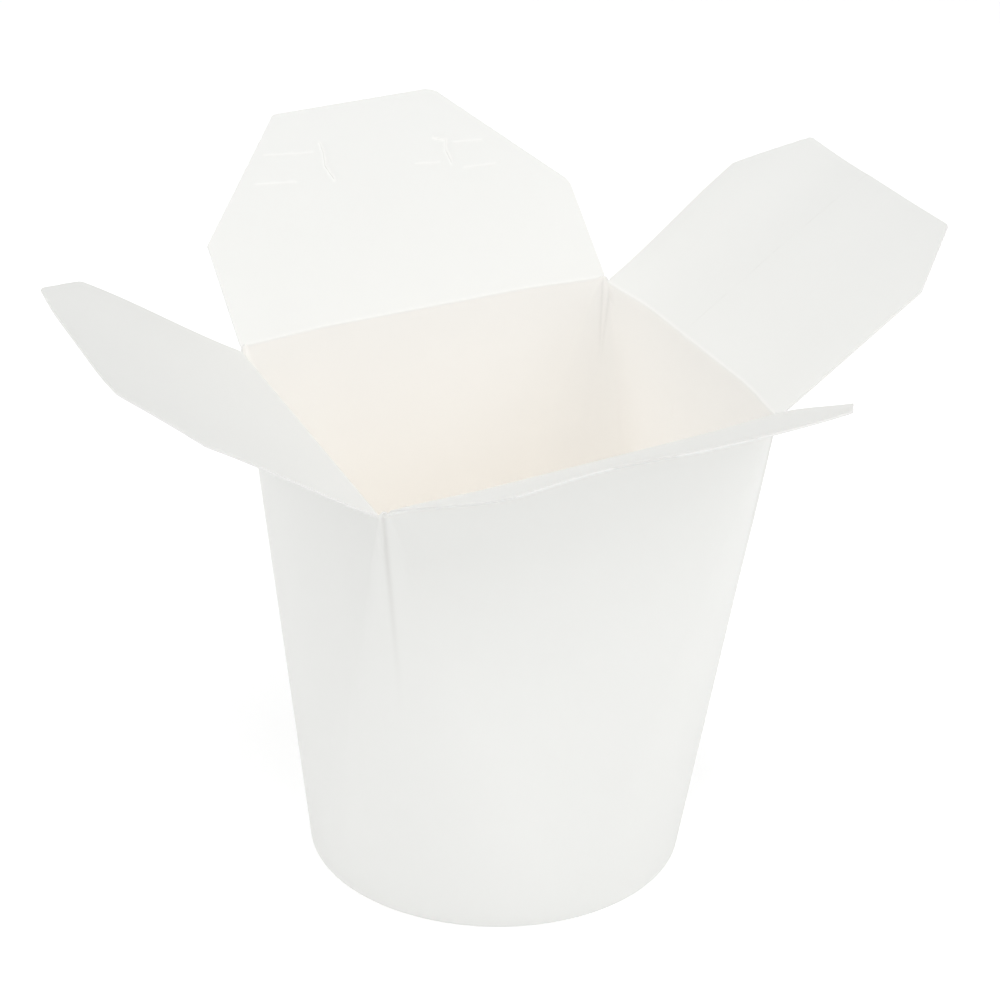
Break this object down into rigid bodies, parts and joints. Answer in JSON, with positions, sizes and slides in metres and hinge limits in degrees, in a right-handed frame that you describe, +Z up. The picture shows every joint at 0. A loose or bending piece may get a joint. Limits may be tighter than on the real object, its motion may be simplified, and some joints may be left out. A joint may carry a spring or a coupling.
{
  "type": "noodle takeaway box",
  "caption": "Open white paperboard takeaway box for noodles: tub with a square mouth and a round base, lid flaps hinged along the mouth's edges.",
  "frame": {"origin": "centre of the underside, on the surface that the box stands on", "axes": "+Z up through the mouth; +X to the right and +Y to the back, square to the sides of the mouth; the front flap, with the wide tip, is on the -Y side"},
  "size_m": [0.1968, 0.1955, 0.157],
  "materials": {
    "board": "smooth white coated paperboard, matt to satin, slightly creamy on the inside of the tub"
  },
  "bodies": {
    "tub": {"cup_wall": "board", "base_disc": "board"},
    "back_flap": {"flap_back": "board"},
    "front_flap": {"flap_front": "board"},
    "left_flap": {"flap_left": "board"},
    "right_flap": {"flap_right": "board"}
  },
  "joints": [
    {"name": "left_fold", "type": "hinge", "parent": "tub", "child": "left_flap", "pos_m": [-0.0475, 0, 0.1151], "axis": [0, 1, 0], "range_deg": [-69, 156.5]},
    {"name": "right_fold", "type": "hinge", "parent": "tub", "child": "right_flap", "pos_m": [0.0475, 0, 0.1211], "axis": [0, -0.9991, 0.0421], "range_deg": [-74, 151]},
    {"name": "back_fold", "type": "hinge", "parent": "tub", "child": "back_flap", "pos_m": [0, 0.0475, 0.118], "axis": [0.9991, 0, 0.0421], "range_deg": [-79, 138]},
    {"name": "front_fold", "type": "hinge", "parent": "tub", "child": "front_flap", "pos_m": [0, -0.0475, 0.12], "axis": [-0.9965, 0, -0.0839], "range_deg": [-67, 148.5]}
  ]
}
